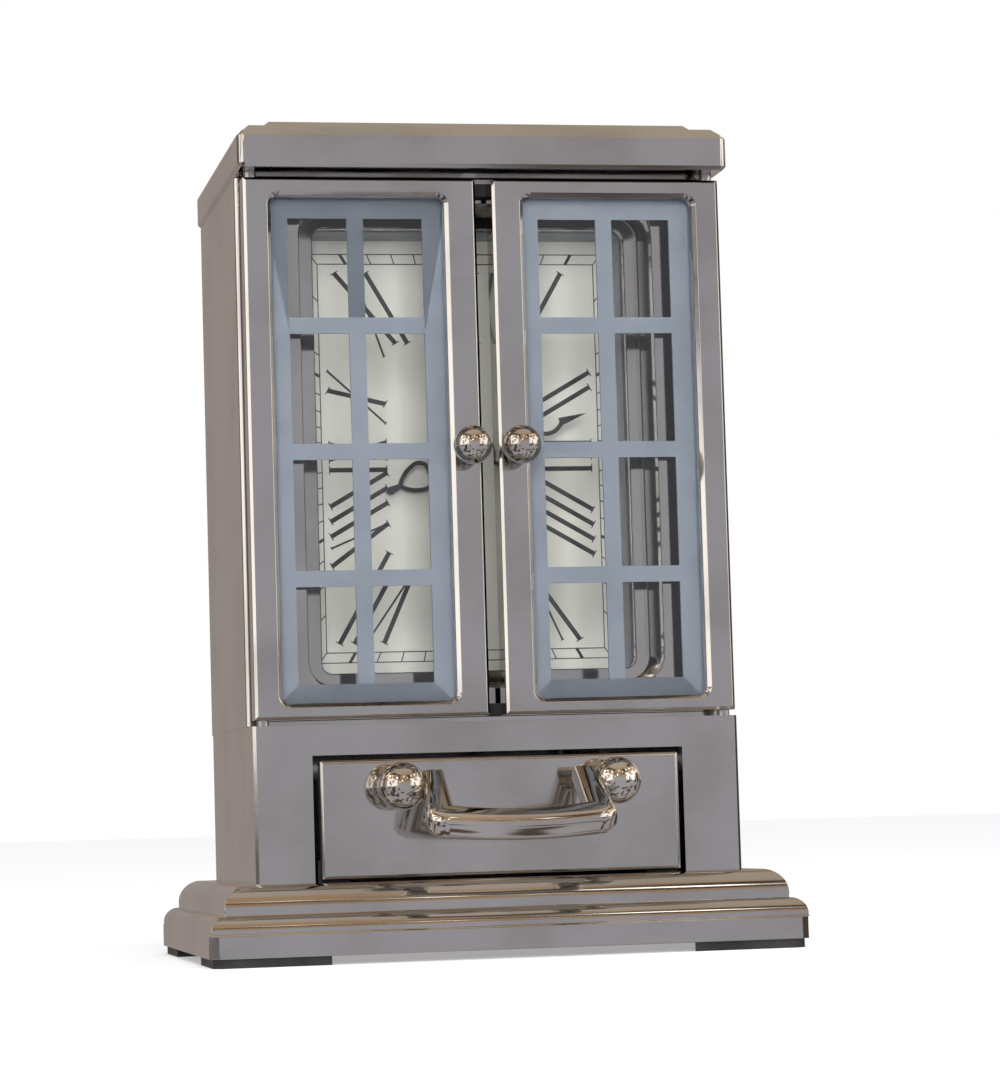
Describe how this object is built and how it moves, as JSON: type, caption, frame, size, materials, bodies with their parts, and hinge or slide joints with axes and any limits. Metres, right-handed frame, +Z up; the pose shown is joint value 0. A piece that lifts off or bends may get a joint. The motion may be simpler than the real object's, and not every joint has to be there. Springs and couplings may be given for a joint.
{
  "type": "miniature clock",
  "caption": "Miniature desk clock shaped as a glazed cabinet, with hinged lattice doors over a rectangular dial and a small drawer in a moulded base.",
  "frame": {"origin": "middle of the overall footprint, on the surface that the clock stands on", "axes": "+Z up, +X to the right of someone facing the doors, +Y towards the back of the clock"},
  "size_m": [0.0574, 0.0514, 0.0805],
  "materials": {
    "plated_case": "polished nickel plate over a zinc casting",
    "plated_fittings": "bright polished nickel plate on small turned and cast fittings",
    "foot_dark": "dark unplated metal, satin",
    "lattice_paint": "blue-grey satin paint",
    "clear_pane": "clear polished acrylic",
    "dial_card": "matt printed card, warm white",
    "surround": "pale grey satin",
    "hand_black": "black satin",
    "gear_brass": "plain brass, turned and stamped",
    "screw_steel": "nickel plated steel",
    "black_plastic": "moulded black plastic, fine grain",
    "board_green": "solder mask green",
    "copper": "enamelled copper winding",
    "cell_steel": "bright nickel plated steel can",
    "drawer_lining": "plain bent sheet",
    "pad_black": "small soft pads"
  },
  "bodies": {
    "case": {"base_plinth": "plated_case", "bracket_feet": "foot_dark", "drawer_runners": "black_plastic", "lower_case": "plated_case", "upper_case": "plated_case", "roof_cornice": "plated_case", "door_stops": "pad_black", "crystal": "clear_pane", "dial_surround": "surround", "dial": "dial_card", "movement_plate": "black_plastic", "movement_housing": "black_plastic", "stator": "screw_steel", "motor_coil": "copper", "circuit_board": "board_green", "button_cell": "cell_steel", "cell_contact": "gear_brass", "rear_cover": "plated_case"},
    "left_door": {"left_door_frame": "plated_case", "left_door_pane": "clear_pane", "left_door_lattice": "lattice_paint", "left_door_knob": "plated_fittings", "left_door_pins": "screw_steel"},
    "right_door": {"right_door_frame": "plated_case", "right_door_pane": "clear_pane", "right_door_lattice": "lattice_paint", "right_door_knob": "plated_fittings", "right_door_pins": "screw_steel"},
    "drawer": {"drawer_front": "plated_case", "drawer_tray": "drawer_lining", "drawer_pull": "plated_fittings"},
    "minute": {"minute_hand": "hand_black", "minute_arbor": "gear_brass"},
    "hour": {"hour_hand": "hand_black", "hour_wheel": "gear_brass"},
    "minute_wheel": {"minute_wheel": "gear_brass"},
    "setting": {"setting_shaft": "screw_steel", "setting_knob": "black_plastic"}
  },
  "joints": [
    {"name": "left_door_hinge", "type": "hinge", "parent": "case", "child": "left_door", "pos_m": [-0.0225, -0.0123, 0.0489], "axis": [0, 0, -1], "range_deg": [0, 180]},
    {"name": "right_door_hinge", "type": "hinge", "parent": "case", "child": "right_door", "pos_m": [0.0225, -0.0123, 0.0489], "axis": [0, 0, 1], "range_deg": [0, 180]},
    {"name": "drawer_slide", "type": "slide", "parent": "case", "child": "drawer", "axis": [0, -1, 0], "range_m": [0, 0.02]},
    {"name": "minute_spin", "type": "hinge", "parent": "case", "child": "minute", "pos_m": [0, 0, 0.0494], "axis": [0, 1, 0], "continuous": true},
    {"name": "hour_spin", "type": "hinge", "parent": "case", "child": "hour", "pos_m": [0, 0, 0.0494], "axis": [0, 1, 0], "continuous": true},
    {"name": "minute_wheel_spin", "type": "hinge", "parent": "case", "child": "minute_wheel", "pos_m": [0, 0.003, 0.0446], "axis": [0, 1, 0], "continuous": true},
    {"name": "setting_spin", "type": "hinge", "parent": "case", "child": "setting", "pos_m": [0, 0.01, 0.0398], "axis": [0, 1, 0], "continuous": true}
  ],
  "couplings": [
    {"joint": "hour_spin", "follows": "minute_spin", "ratio": 0.083333},
    {"joint": "minute_wheel_spin", "follows": "minute_spin", "ratio": -0.33333},
    {"joint": "setting_spin", "follows": "minute_spin", "ratio": 1}
  ]
}
